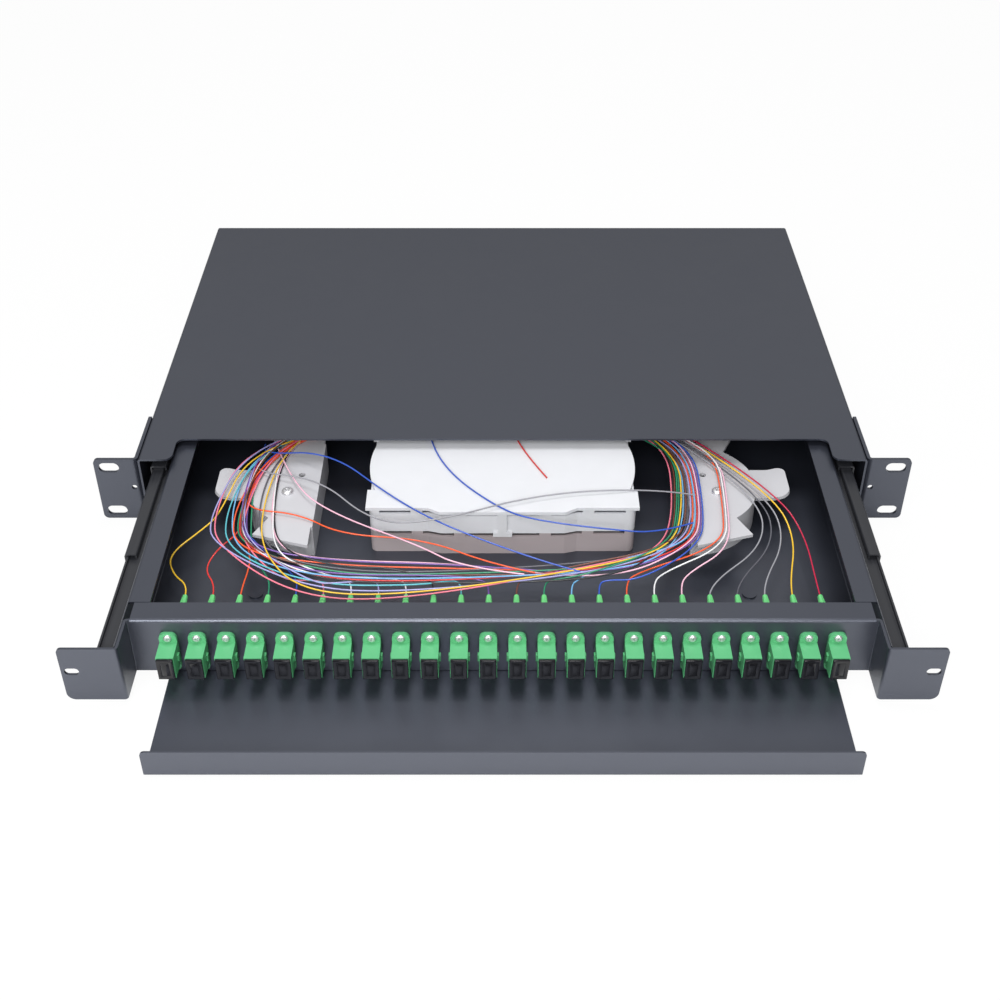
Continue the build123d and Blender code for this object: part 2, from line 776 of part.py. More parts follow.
# Fibre guides: a D-shaped wall under a plate, with an outward tab and two wings
guide_top = drawer_floor_top + guide_height
plate_z = guide_top - guide_plate
wing_edge = math.radians(guide_wing_angle)
wing_root = (
    guide_chord_x + guide_radius * math.cos(wing_edge),
    guide_radius * math.sin(wing_edge),
)
tab_root_x = guide_chord_x + guide_radius - guide_wall
with BuildPart() as fibre_guide_right:
    with BuildSketch(Plane.XY.offset(drawer_floor_top)):
        with BuildLine():
            CenterArc((guide_chord_x, guide_y), guide_radius, -90, 180)
            Line((guide_chord_x, guide_y + guide_radius), (guide_chord_x, guide_y - guide_radius))
        make_face()
        with BuildLine():
            CenterArc((guide_chord_x, guide_y), guide_radius - guide_wall, -90, 180)
            Line(
                (guide_chord_x, guide_y + guide_radius - guide_wall),
                (guide_chord_x, guide_y - guide_radius + guide_wall),
            )
        make_face(mode=Mode.SUBTRACT)
        with Locations((guide_chord_x, guide_y)):
            Rectangle(guide_wall, 2 * guide_radius)
    extrude(amount=guide_height)
    with BuildSketch(Plane.XY.offset(plate_z)):
        with BuildLine():
            CenterArc((guide_chord_x, guide_y), guide_radius, -90, 180)
            Line((guide_chord_x, guide_y + guide_radius), (guide_chord_x, guide_y - guide_radius))
        make_face()
        for end in (-1, 1):
            with BuildLine():
                Polyline(
                    (guide_chord_x, guide_y + end * guide_wing_span / 2),
                    (guide_chord_x + guide_wing_x, guide_y + end * guide_wing_y),
                    (wing_root[0], guide_y + end * wing_root[1]),
                    (guide_chord_x, guide_y + end * guide_radius / 2),
                    close=True,
                )
            make_face()
        with Locations((guide_chord_x + guide_screw_x, guide_y + guide_screw_y)):
            Circle(guide_screw_hole_diameter / 2, mode=Mode.SUBTRACT)
        with Locations((guide_chord_x + guide_hole_x, guide_y + guide_hole_y)):
            Circle(guide_hole_diameter / 2, mode=Mode.SUBTRACT)
    extrude(amount=guide_plate)
    with BuildSketch(Plane.XY.offset(drawer_floor_top)):
        with Locations((guide_chord_x + guide_screw_x, guide_y + guide_screw_y)):
            Circle(guide_boss_diameter / 2)
            Circle(guide_screw_hole_diameter / 2, mode=Mode.SUBTRACT)
    extrude(amount=guide_height - guide_plate)
    tab_plane = Plane.XZ.offset(guide_tab_width / 2 - guide_y)
    with BuildSketch(tab_plane):
        with BuildLine():
            FilletPolyline(
                (tab_root_x, guide_top - guide_plate / 2),
                (guide_chord_x + guide_radius + guide_tab_reach / 2, guide_top - guide_plate / 2),
                (
                    guide_chord_x + guide_radius + guide_tab_reach,
                    guide_top - guide_plate / 2 + guide_tab_rise,
                ),
                radius=guide_tab_reach,
            )
        trace(line_width=guide_plate)
    extrude(amount=-guide_tab_width)
    tab_tip_x = guide_chord_x + guide_radius + guide_tab_reach
    tab_corners = fibre_guide_right.edges().filter_by(Axis.Y, reverse=True).filter_by(
        lambda edge: edge.center().X > tab_tip_x - guide_plate
    )
    fillet(tab_corners, guide_tab_corner)
finish(fibre_guide_right.part, "fibre_guide_right")

with BuildPart() as fibre_guide_left:
    mirror(fibre_guide_right.part, about=Plane.YZ)
finish(fibre_guide_left.part, "fibre_guide_left")

# Screws through the fibre guides
with BuildPart() as guide_screws:
    for side in (-1, 1):
        screw_at = (side * (guide_chord_x + guide_screw_x), guide_y + guide_screw_y)
        with BuildSketch(Plane.XY.offset(guide_top)):
            with Locations(screw_at):
                Circle(guide_screw_head_diameter / 2)
        extrude(amount=guide_screw_head_height)
        with BuildSketch(Plane.XY.offset(guide_top)):
            with Locations(screw_at):
                Circle(guide_screw_shank_diameter / 2)
        extrude(amount=-guide_screw_shank_length)
finish(guide_screws.part, "guide_screws")

# Fibre loop: the outer shape of the wound pigtails, lying on both guides
loop_left = -(guide_chord_x + guide_radius + loop_overhang)
loop_right = guide_chord_x + loop_over_rib
loop_front = boot_tip_y + loop_front_setback
loop_rear = splice_rear + loop_rear_distance
with BuildPart() as fibre_loop:
    with BuildSketch(Plane.XY.offset(guide_top)):
        with Locations(((loop_left + loop_right) / 2, (loop_front + loop_rear) / 2)):
            RectangleRounded(loop_right - loop_left, loop_rear - loop_front, loop_corner)
            RectangleRounded(
                loop_right - loop_left - 2 * loop_width,
                loop_rear - loop_front - 2 * loop_width,
                loop_corner - loop_width,
                mode=Mode.SUBTRACT,
            )
    extrude(amount=loop_height)
finish(fibre_loop.part, "fibre_loop")

# Middle line of the loop, and the centres of its round corners
loop_z = guide_top + loop_height / 2
loop_radius = loop_corner - loop_width / 2
left_line = loop_left + loop_width / 2
right_line = loop_right - loop_width / 2
front_line = loop_front + loop_width / 2
rear_line = loop_rear - loop_width / 2
left_centre = loop_left + loop_corner
right_centre = loop_right - loop_corner
front_centre = loop_front + loop_corner
rear_centre = loop_rear - loop_corner


def fibre(points):
    """One plain fibre along straight runs that are joined by tangent arcs."""
    corners = [Vector(point) for point in points]
    radius = math.inf
    for before, corner, after in zip(corners, corners[1:], corners[2:]):
        turn = (corner - before).get_angle(after - corner)
        shorter = min((corner - before).length, (after - corner).length)
        radius = min(radius, 0.45 * shorter / math.tan(math.radians(turn / 2)))
    with BuildPart() as strand:
        with BuildLine() as route:
            FilletPolyline(*corners, radius=radius)
        with BuildSketch(Plane(corners[0], z_dir=corners[1] - corners[0])):
            Circle(fibre_diameter / 2)
        sweep(path=route.line)
    return strand.part


def on_corner(centre_x, centre_y, angle, z):
    """A point on the middle line of one of the loop's round corners."""
    turn = math.radians(angle)
    return (centre_x + loop_radius * math.cos(turn), centre_y + loop_radius * math.sin(turn), z)


def lead_route(number, x):
    """Corner points of the lead of one port, from its boot into the loop."""
    tip = (x, boot_tip_y, adapter_z)
    straight = (x, boot_tip_y + lead_straight, adapter_z)
    outside = number - (adapter_count - 4)
    if number == 1:
        slack = (x - 13, boot_tip_y + 34, adapter_z)
        return [tip, straight, slack, (left_line, front_centre + 16, loop_z)]
    if number <= 5:
        return [tip, straight, on_corner(left_centre, front_centre, 140 + 20 * number, loop_z)]
    if outside >= 0:
        beside_wing = (guide_chord_x + guide_radius - 1 + 6 * outside, 2 * outside - 48, adapter_z)
        over_tab = (guide_chord_x + guide_radius - 1 + 3 * outside, -20, loop_z)
        behind = (right_centre + 26 + 3 * outside, rear_centre + 28, loop_z)
        return [tip, straight, beside_wing, over_tab, behind]
    if number > adapter_count - 8:
        return [tip, straight, on_corner(right_centre, front_centre, 20 * (number - 20), loop_z)]
    end_x = x + math.copysign(lead_drift, x)
    past_corner = max(left_centre - end_x, end_x - right_centre, 0)
    end_y = front_centre - math.sqrt(loop_radius**2 - past_corner**2)
    return [tip, straight, (end_x, end_y, loop_z)]


with BuildPart() as pigtail_leads:
    for number, lead_x in enumerate(adapter_xs, start=1):
        add(fibre(lead_route(number, lead_x)))
finish(pigtail_leads.part, "pigtail_leads")

# Loose fibres: single strands that leave the loop and cross the lid or the left guide
lid_top = lid_z + lid_thickness
on_lid = lid_top + lid_lay
over_lid = on_lid + 2 * fibre_diameter
lid_front = splice_front - lid_bulge
left_of_lid = -splice_half
right_of_lid = splice_half + 11
loose_routes = [
    [
        (-0.68 * splice_half, rear_line, loop_z),
        (-0.64 * splice_half, splice_rear + 6, on_lid),
        (-0.47 * splice_half, splice_mid_y - 5, on_lid),
        (0, lid_front, on_lid),
        (right_of_lid, front_centre - 14, loop_z + 4),
        (right_line - 4, front_centre, loop_z),
    ],
    [
        (left_line, 12, loop_z),
        (-guide_chord_x + 2, -4, loop_z + 5),
        (left_of_lid + 2, splice_front - 11, lid_z + 0.7),
        (left_of_lid + 35, splice_front - 17, over_lid),
        (0.29 * splice_half, splice_front + 10, over_lid + 0.5),
        (right_of_lid, splice_front + 16, on_lid),
        (right_line, splice_front + 23, loop_z),
    ],
    [
        (left_line, rear_centre + 4, loop_z),
        (-guide_chord_x + 6, 18, on_lid - 0.3),
        (left_of_lid + 14, splice_front + 7, on_lid + 0.6),
        (left_of_lid + 46, splice_front - 17, on_lid - 1.2),
        (0.48 * splice_half, front_line, loop_z),
    ],
    [
        (0.03 * splice_half, rear_line, loop_z),
        (0.05 * splice_half, splice_rear + 6, on_lid),
        (0.34 * splice_half, splice_front + 28, on_lid),
    ],
    [
        on_corner(left_centre, rear_centre, 160, loop_z),
        (-guide_chord_x - 14, -6, loop_z + 1.6),
        (-guide_chord_x + 12, -33, loop_z + 1.2),
        (-0.6 * splice_half, splice_front - 21, loop_z - 2),
        (-0.18 * splice_half, front_line, loop_z - 0.5),
    ],
    [
        (left_line + 2, front_centre + 18, loop_z - 0.8),
        (-guide_chord_x + 2, -34, loop_z),
        (-0.63 * splice_half, splice_front - 10, loop_z - 3),
        (0.13 * splice_half, front_line + 1, loop_z - 0.8),
    ],
]
with BuildPart() as loose_fibres:
    for route_points in loose_routes:
        add(fibre(route_points))
finish(loose_fibres.part, "loose_fibres")

# Grommets in the rear cable holes
grommet_outer_y = housing_depth + grommet_flange_depth
grommet_inner_y = housing_depth - housing_sheet - grommet_flange_depth
for side, grommet_name in ((-1, "cable_grommet_left"), (1, "cable_grommet_right")):
    grommet_x = side * inlet_spacing / 2
    with BuildPart() as cable_grommet:
        for flange_y in (grommet_outer_y, housing_depth - housing_sheet):
            with BuildSketch(Plane.XZ.offset(-flange_y)):
                with Locations((grommet_x, inlet_z)):
                    Circle(grommet_flange_diameter / 2)
            extrude(amount=grommet_flange_depth)
        with BuildSketch(Plane.XZ.offset(-grommet_outer_y)):
            with Locations((grommet_x, inlet_z)):
                Circle(inlet_hole_diameter / 2 - grommet_fit)
        extrude(amount=grommet_outer_y - grommet_inner_y)
        with BuildSketch(Plane.XZ.offset(-grommet_outer_y)):
            with Locations((grommet_x, inlet_z)):
                Circle(grommet_bore / 2)
        extrude(amount=grommet_outer_y - grommet_inner_y, mode=Mode.SUBTRACT)
    finish(cable_grommet.part, grommet_name)
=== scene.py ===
import itertools
import math

import bmesh
import bpy
from bpy.props import FloatProperty, FloatVectorProperty, IntProperty, PointerProperty
from mathutils import Matrix, Vector


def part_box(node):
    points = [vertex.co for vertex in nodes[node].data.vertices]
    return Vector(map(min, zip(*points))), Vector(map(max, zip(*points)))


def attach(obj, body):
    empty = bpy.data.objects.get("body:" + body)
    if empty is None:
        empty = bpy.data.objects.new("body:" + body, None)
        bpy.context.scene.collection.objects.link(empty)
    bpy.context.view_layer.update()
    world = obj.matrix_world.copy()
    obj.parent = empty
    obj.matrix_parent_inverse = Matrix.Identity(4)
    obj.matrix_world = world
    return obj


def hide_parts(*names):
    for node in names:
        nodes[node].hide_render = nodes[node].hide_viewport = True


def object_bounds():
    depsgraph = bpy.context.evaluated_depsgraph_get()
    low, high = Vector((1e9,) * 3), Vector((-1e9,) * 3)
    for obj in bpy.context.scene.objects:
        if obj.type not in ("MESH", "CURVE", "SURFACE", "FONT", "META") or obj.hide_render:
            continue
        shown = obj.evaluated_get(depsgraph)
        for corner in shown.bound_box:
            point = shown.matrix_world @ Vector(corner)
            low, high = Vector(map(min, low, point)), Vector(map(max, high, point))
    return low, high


bl_info = {
    "name": "Sliding fibre patch drawer",
    "version": (1, 0, 0),
    "blender": (4, 5, 0),
    "location": "3D View > Sidebar > Patch drawer",
    "description": "Dresses the patch drawer: coated sheet, slides, adapters, caps, splice trays and fibres",
    "category": "Object",
}

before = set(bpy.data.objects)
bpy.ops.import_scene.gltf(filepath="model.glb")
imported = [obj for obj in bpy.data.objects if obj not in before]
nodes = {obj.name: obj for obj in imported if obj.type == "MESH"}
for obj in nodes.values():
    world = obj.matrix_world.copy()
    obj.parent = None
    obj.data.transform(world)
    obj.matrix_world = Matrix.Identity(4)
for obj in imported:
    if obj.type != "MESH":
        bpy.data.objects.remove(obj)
cad_low, cad_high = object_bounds()

# Sizes of the small pieces made here, in metres
PANEL_RECESS = 0.0213
ADAPTER_FLANGE_DEPTH = 0.002
ADAPTER_SCREW_HEIGHT = 0.0013
GUIDE_SCREW_HEIGHT = 0.0022
EAR_SCREW_HEIGHT = 0.0015
HEAD_RADIUS = 0.0035
FLOOR_GAP = 0.0005

# Port positions along the row, read from the dust caps
caps = sorted(name for name in nodes if name.startswith("dust_cap_"))
port_xs = [(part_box(name)[0].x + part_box(name)[1].x) / 2 for name in caps]
port_z = (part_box(caps[0])[0].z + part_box(caps[0])[1].z) / 2
boot_tip_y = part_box("pigtail_connectors")[1].y
guide_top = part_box("guide_screws")[1].z - GUIDE_SCREW_HEIGHT
tray_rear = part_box("splice_tray_upper")[1].y

# Jacket colours of the fibres, in linear light
JACKETS = {
    "yellow": (0.80, 0.50, 0.03),
    "red": (0.62, 0.035, 0.03),
    "orange": (0.80, 0.10, 0.025),
    "green": (0.02, 0.24, 0.12),
    "blue": (0.03, 0.09, 0.48),
    "pink": (0.80, 0.19, 0.27),
    "rose": (0.82, 0.48, 0.60),
    "white": (0.78, 0.78, 0.80),
    "grey": (0.30, 0.30, 0.33),
    "slate": (0.10, 0.10, 0.12),
    "black": (0.012, 0.012, 0.014),
    "aqua": (0.10, 0.45, 0.52),
    "sky": (0.16, 0.42, 0.70),
    "violet": (0.17, 0.08, 0.34),
    "lilac": (0.34, 0.33, 0.62),
    "brown": (0.16, 0.05, 0.03),
    "crimson": (0.50, 0.015, 0.06),
}
# One jacket per port, from the left
PORT_JACKETS = [
    "yellow", "red", "orange", "green", "blue", "pink", "white", "lilac", "white", "black", "aqua", "violet",
    "brown", "green", "sky", "blue", "orange", "white", "rose", "grey", "slate", "grey", "yellow", "crimson",
]
# Lanes of the wound loop over the left guide, in millimetres: X at the rear, middle and front, and the level
LEFT_LANES = [
    (-133.5, -133.5, -125.5, 5.2), (-133.0, -135.5, -125.5, 5.2), (-136.0, -133.5, -128.0, 5.9),
    (-134.0, -139.5, -134.5, 6.8), (-138.0, -143.0, -131.0, 5.0), (-144.5, -149.6, -140.0, 5.2),
    (-145.5, -150.7, -142.0, 5.2), (-143.0, -151.8, -141.0, 5.3), (-147.0, -152.9, -146.0, 5.4),
    (-142.0, -150.1, -143.5, 6.15), (-146.0, -151.2, -139.5, 6.15), (-148.0, -152.3, -145.0, 6.25),
    (-144.0, -153.4, -147.0, 6.3), (-149.0, -150.6, -141.5, 7.1), (-145.0, -151.7, -144.5, 7.1),
    (-147.5, -152.8, -143.0, 7.2), (-143.5, -151.5, -146.0, 8.05), (-150.0, -146.0, -138.5, 5.0),
    (-140.0, -156.0, -150.0, 6.9), (-152.0, -157.5, -149.0, 6.5), (-150.0, -160.0, -154.0, 7.3),
    (-155.0, -162.5, -156.0, 7.9), (-158.5, -166.0, -159.0, 8.6), (-156.0, -168.0, -162.0, 9.0),
]
# Lanes of the loop behind the boots: Y in millimetres
FRONT_LANES = [
    -64.5, -66.5, -69.0, -71.5, -73.0, -74.2, -75.4, -76.5, -77.6, -78.6, -79.6, -80.6, -81.6, -82.6, -83.6,
    -84.6, -85.6, -86.5, -87.4, -88.3, -91.0, -95.0, -98.0,
]
# Lane taken by each pass of a fibre, port by port
LEFT_ORDER = [21, 6, 11, 7, 17, 12, 8, 9, 22, 2, 13, 23, 14, 0, 10, 20, 5, 15, 16, 19, 18, 1, 4, 3]
FRONT_ORDER = [12, 7, 15, 22, 5, 17, 20, 10, 3, 14, 18, 8, 1, 16, 6, 19, 13, 11, 9, 2, 0, 4, 21]
RIGHT_ORDER = [12, 4, 0, 9, 1, 14, 7, 2, 3, 11, 6, 15, 16, 10, 17, 18, 13, 8, 5]
# How the first five leads reach the left guide: steps from the boot's X, then Y and level
LEFT_JOINS = {
    1: [(-10.0, -74.0, -3.4), (-15.5, -58.0, -2.5), (2.0, -40.0, 2.0)],
    2: [(-8.0, -71.0, -2.5), (-3.0, -57.0, 0.5), (9.0, -46.0, 4.4)],
    3: [(1.5, -72.0, -2.5), (2.0, -62.0, 0.5)],
    4: [(-3.0, -75.0, -2.5), (-13.0, -63.0, 1.0)],
    5: [(-2.0, -77.0, -2.5), (-10.0, -69.0, 0.0), (-22.0, -60.0, 3.5)],
}
# Strands that leave the loop: jacket, far end, and the control points of the route in millimetres
LOOSE_STRANDS = [
    ("blue", "object", [
        (-52, 67, 6), (-51, 61, 16.2), (-48.5, 51, 15.9), (-36, 0.5, 15.4), (0, -41, 15.45), (24, -51, 15.9),
        (60, -54.5, 13.2), (87.5, -54, 10), (109, -40, 6.4)]),
    ("grey", "object", [
        (-149.5, 21, 5.4), (-150, 9, 6), (-108, -4, 11), (-74.5, -48, 13.5), (-41.5, -54, 17.2),
        (22, -27, 17.7), (87.5, -21, 16.6), (113, -14, 6.4)]),
    ("blue", "object", [
        (-146, 38.5, 5.4), (-149, 27, 6), (-104, 18, 15.1), (-62.5, -30, 16.1), (-30.5, -54, 14.2),
        (24, -72, 3.5), (43, -77, 1.4)]),
    ("red", "bare", [(2.3, 67, 6), (2.8, 61, 16.2), (4.2, 51, 15.9), (10, 22, 15.4), (26, -9, 15.35)]),
    ("rose", "object", [
        (-140, 40, 5.6), (-124, -6, 7.8), (-98, -33, 7.2), (-46, -58, 4), (-24, -73, 1.6), (12, -77, -0.6)]),
    ("orange", "object", [
        (-150.5, -14, 5.2), (-149, -27, 5.6), (-118, -31, 6.2), (-92, -48, 4), (-44, -50, 2.5),
        (-6, -71, 1.6), (18, -77, 0.6)]),
]
# Ports counted from the left: the last whose fibre turns left, the last that joins the loop in front,
# and the last that joins it at the right guide; the rest run straight to the rear
LAST_LEFT_PORT = 12
LAST_FRONT_PORT = 16
LAST_GUIDE_PORT = 19
# Where the fibres end at the splice trays, in millimetres: first X and level, and the steps between ports
ENTRY_X, ENTRY_STEP = -63.0, 5.5
ENTRY_Z, ENTRY_RISE = 1.0, 0.35
# Lanes from this one on lie outside the right guide's screw and over its head
OUTER_LANE = 16

# Softboxes in metres: place, aim and size
SOFTBOXES = {
    "overhead": ((0.0, 0.15, 1.70), (0.0, 0.05, 0.0), (0.6, 0.7)),
    "back": ((0.0, 1.45, 1.25), (0.0, 0.05, 0.0), (2.4, 1.2)),
    "front": ((-0.25, -1.25, 1.15), (0.0, -0.10, 0.0), (1.0, 0.8)),
    "table": ((-0.22, -0.72, 0.42), (-0.22, -0.72, 0.0), (1.3, 0.3)),
}
WHITE = (1.0, 1.0, 1.0, 1.0)
# Share of the floor's own glow in what the camera sees of it
FLOOR_GLOW = 0.94

# Side view of a pan head: share of the radius and share of the height, from the foot up
HEAD_PROFILE = ((1.0, 0.0), (1.0, 0.30), (0.93, 0.62), (0.78, 0.88), (0.60, 1.0))
# Cross recess: length and half width of an arm by the radius, taper of the foot and its level by the height
CROSS_ARM, CROSS_HALF = 0.46, 0.10
CROSS_TAPER, CROSS_FOOT = 0.6, 0.35

# Dust cap in metres: what its body stands in from its rim at X, Y and Z, the rim's depth, the round of the
# edges, and the width and depth of each step of the dished face
CAP_BODY_INSET = (0.0014, 0.0010, 0.0016)
CAP_RIM = 0.0017
CAP_ROUND = 0.00045
CAP_DISH = ((0.0007, 0.0), (0.0017, -0.0005), (0.0008, 0.0003))
# Dihedral above which the edges of small pieces stay sharp
SHARP_ANGLE = math.radians(35.0)


class PatchDrawerFinishes(bpy.types.PropertyGroup):
    """Colours of the drawer's finishes, in linear light; the lower splice tray's colour is the tray white
    darkened with painted shade.
    """

    sheet: FloatVectorProperty(
        name="Coated sheet", description="Powder coat of the housing, panel and tray",
        subtype="COLOR", min=0.0, max=1.0, default=(0.015, 0.0168, 0.0235))
    rails: FloatVectorProperty(
        name="Slide members", description="Black coat of the rolled slides",
        subtype="COLOR", min=0.0, max=1.0, default=(0.020, 0.021, 0.025))
    adapters: FloatVectorProperty(
        name="Adapters", description="Moulded green of the adapter bodies",
        subtype="COLOR", min=0.0, max=1.0, default=(0.090, 0.385, 0.166))
    boots: FloatVectorProperty(
        name="Boots", description="Soft green of the pigtail boots",
        subtype="COLOR", min=0.0, max=1.0, default=(0.15, 0.62, 0.21))
    caps: FloatVectorProperty(
        name="Dust caps", description="Glossy black of the dust caps",
        subtype="COLOR", min=0.0, max=1.0, default=(0.006, 0.006, 0.0075))
    trays: FloatVectorProperty(
        name="Splice trays", description="White of the splice trays and lid",
        subtype="COLOR", min=0.0, max=1.0, default=(0.80, 0.81, 0.84))
    # Painted shade: the lower splice tray is the same white plastic as the upper one, darkened for the shade
    # it sits in
    lower_tray_painted_shade: FloatVectorProperty(
        name="Lower splice tray", description="Greyer plastic of the lower splice tray",
        subtype="COLOR", min=0.0, max=1.0, default=(0.47, 0.41, 0.42))
    guides: FloatVectorProperty(
        name="Fibre guides", description="Off-white of the fibre guides",
        subtype="COLOR", min=0.0, max=1.0, default=(0.485, 0.485, 0.51))


class PatchDrawerFibres(bpy.types.PropertyGroup):
    """Size of the fibres."""

    diameter: FloatProperty(
        name="Diameter", description="Outside diameter of one jacketed fibre",
        subtype="DISTANCE", unit="LENGTH", min=0.0003, max=0.003, default=0.0009)


class PatchDrawerScrews(bpy.types.PropertyGroup):
    """Sizes of the crosshead screws."""

    adapter_head: FloatProperty(
        name="Adapter screw head", description="Head diameter of the adapter screws",
        subtype="DISTANCE", unit="LENGTH", min=0.002, max=0.01, default=0.0044)
    adapter_offset: FloatProperty(
        name="Adapter screw offset", description="Height of the screws above and below the adapter's middle",
        subtype="DISTANCE", unit="LENGTH", min=0.005, max=0.02, default=0.0101)
    facets: IntProperty(
        name="Facets", description="Facets round each screw head", min=12, max=64, default=24)


class PatchDrawerStage(bpy.types.PropertyGroup):
    """Camera and light of the studio."""

    camera_place: FloatVectorProperty(
        name="Camera place", description="Where the camera stands",
        subtype="TRANSLATION", unit="LENGTH", default=(-0.00145, -0.66296, 0.50537))
    camera_pitch: FloatProperty(
        name="Camera pitch", description="How far the camera looks down",
        subtype="ANGLE", unit="ROTATION", default=math.radians(37.76))
    lens: FloatProperty(
        name="Lens", description="Focal length of the camera in millimetres",
        min=10.0, max=300.0, default=50.216)
    ambient: FloatProperty(
        name="Ambient", description="Strength of the even studio light", min=0.0, max=3.0, default=0.32)
    overhead: FloatProperty(
        name="Overhead", description="Power of the overhead softbox", subtype="POWER", min=0.0, default=15.0)
    back: FloatProperty(
        name="Back", description="Power of the softbox behind", subtype="POWER", min=0.0, default=2.6)
    front: FloatProperty(
        name="Front", description="Power of the front softbox", subtype="POWER", min=0.0, default=19.0)
    table: FloatProperty(
        name="Table", description="Power of the softbox over the table in front",
        subtype="POWER", min=0.0, default=7.0)


def new_material(name, colour, roughness, metallic=0.0):
    """A material with one shader whose even values are set on its own sockets."""
    material = bpy.data.materials.new(name)
    material.use_nodes = True
    shader = material.node_tree.nodes["Principled BSDF"]
    shader.inputs["Base Color"].default_value = (*colour, 1.0)
    shader.inputs["Roughness"].default_value = roughness
    shader.inputs["Metallic"].default_value = metallic
    return material, shader


def noise(material, scale, detail=2.0, roughness=0.5, stretch=(1.0, 1.0, 1.0)):
    """Noise in the object's own space; scale counts features along one metre."""
    tree = material.node_tree
    place = tree.nodes.new("ShaderNodeTexCoord")
    mapping = tree.nodes.new("ShaderNodeMapping")
    mapping.inputs["Scale"].default_value = stretch
    texture = tree.nodes.new("ShaderNodeTexNoise")
    texture.inputs["Scale"].default_value = scale
    texture.inputs["Detail"].default_value = detail
    texture.inputs["Roughness"].default_value = roughness
    tree.links.new(place.outputs["Object"], mapping.inputs["Vector"])
    tree.links.new(mapping.outputs["Vector"], texture.inputs["Vector"])
    return texture


def vary_colour(material, shader, texture, low, high):
    """Mix two shades of the finish by a texture."""
    tree = material.node_tree
    mix = tree.nodes.new("ShaderNodeMix")
    mix.data_type = "RGBA"
    mix.inputs["A"].default_value = (*low, 1.0)
    mix.inputs["B"].default_value = (*high, 1.0)
    tree.links.new(texture.outputs["Fac"], mix.inputs["Factor"])
    tree.links.new(mix.outputs["Result"], shader.inputs["Base Color"])


def vary_roughness(material, shader, texture, low, high):
    """Let the roughness wander between two values."""
    tree = material.node_tree
    spread = tree.nodes.new("ShaderNodeMapRange")
    spread.inputs["From Min"].default_value = 0.3
    spread.inputs["From Max"].default_value = 0.7
    spread.inputs["To Min"].default_value = low
    spread.inputs["To Max"].default_value = high
    tree.links.new(texture.outputs["Fac"], spread.inputs["Value"])
    tree.links.new(spread.outputs["Result"], shader.inputs["Roughness"])


def add_bump(material, shader, texture, strength, height):
    """Raise the surface by a texture; height is in metres."""
    tree = material.node_tree
    bump = tree.nodes.new("ShaderNodeBump")
    bump.inputs["Strength"].default_value = strength
    bump.inputs["Distance"].default_value = height
    tree.links.new(texture.outputs["Fac"], bump.inputs["Height"])
    tree.links.new(bump.outputs["Normal"], shader.inputs["Normal"])


def shade(colour, factor):
    """A darker or lighter shade of a colour."""
    return tuple(min(1.0, channel * factor) for channel in colour)


def powder_coat(name, colour):
    """Fine-textured satin powder coat."""
    material, shader = new_material(name, colour, 0.36)
    grain = noise(material, 2600.0, 3.0, 0.6)
    cloud = noise(material, 24.0, 3.0, 0.55)
    vary_colour(material, shader, grain, shade(colour, 0.80), shade(colour, 1.20))
    vary_roughness(material, shader, cloud, 0.32, 0.40)
    add_bump(material, shader, grain, 0.22, 0.00005)
    shader.inputs["IOR"].default_value = 1.6
    shader.inputs["Specular IOR Level"].default_value = 1.0
    shader.inputs["Specular Tint"].default_value = (0.80, 0.85, 1.0, 1.0)
    return material


def moulded_plastic(name, colour, roughness, spread=0.06):
    """Moulded plastic with a faint flow of shade and a fine skin."""
    material, shader = new_material(name, colour, roughness)
    flow = noise(material, 90.0, 2.0, 0.5, (1.0, 1.0, 2.5))
    skin = noise(material, 1500.0, 2.0, 0.5)
    vary_colour(material, shader, flow, shade(colour, 1.0 - spread), shade(colour, 1.0 + spread))
    vary_roughness(material, shader, flow, roughness - 0.05, roughness + 0.07)
    add_bump(material, shader, skin, 0.25, 0.00002)
    return material


def thin_plastic(name, colour):
    """Thin moulded plastic that lets some light through."""
    material = moulded_plastic(name, colour, 0.42, 0.025)
    tree = material.node_tree
    thin = tree.nodes.new("ShaderNodeBsdfTranslucent")
    thin.inputs["Color"].default_value = (*colour, 1.0)
    blend = tree.nodes.new("ShaderNodeMixShader")
    blend.inputs["Fac"].default_value = 0.25
    tree.links.new(tree.nodes["Principled BSDF"].outputs["BSDF"], blend.inputs[1])
    tree.links.new(thin.outputs["BSDF"], blend.inputs[2])
    tree.links.new(blend.outputs["Shader"], tree.nodes["Material Output"].inputs["Surface"])
    return material


def zinc_material():
    """Bright zinc with fine turning marks."""
    known = bpy.data.materials.get("zinc_screw")
    if known:
        return known
    material, shader = new_material("zinc_screw", (0.74, 0.74, 0.77), 0.26, 1.0)
    marks = noise(material, 1800.0, 2.0)
    vary_colour(material, shader, marks, (0.64, 0.64, 0.67), (0.80, 0.80, 0.83))
    vary_roughness(material, shader, marks, 0.20, 0.34)
    return material


def jacket_material(name):
    """Smooth fibre jacket with a little change of shade along it."""
    known = bpy.data.materials.get("jacket_" + name)
    if known:
        return known
    colour = JACKETS[name]
    material, shader = new_material("jacket_" + name, colour, 0.34)
    flow = noise(material, 120.0, 1.0)
    vary_colour(material, shader, flow, shade(colour, 0.86), shade(colour, 1.10))
    shader.inputs["Coat Weight"].default_value = 0.15
    return material


def dress(name, material):
    """Give a CAD node its finish."""
    mesh = nodes[name].data
    mesh.materials.clear()
    mesh.materials.append(material)


def soften(name, width):
    """Round the sharp edges of a CAD node as it is shown."""
    bevel = nodes[name].modifiers.new("edge_round", "BEVEL")
    bevel.width = width
    bevel.segments = 2
    bevel.limit_method = "ANGLE"
    bevel.angle_limit = math.radians(40.0)
    bevel.use_clamp_overlap = True


def link_mesh(name, shape, material, smooth=True):
    """Turn a bmesh into a linked object with one finish."""
    mesh = bpy.data.meshes.new(name)
    shape.to_mesh(mesh)
    shape.free()
    mesh.materials.append(material)
    if smooth:
        mesh.shade_smooth()
    piece = bpy.data.objects.new(name, mesh)
    bpy.context.scene.collection.objects.link(piece)
    return piece


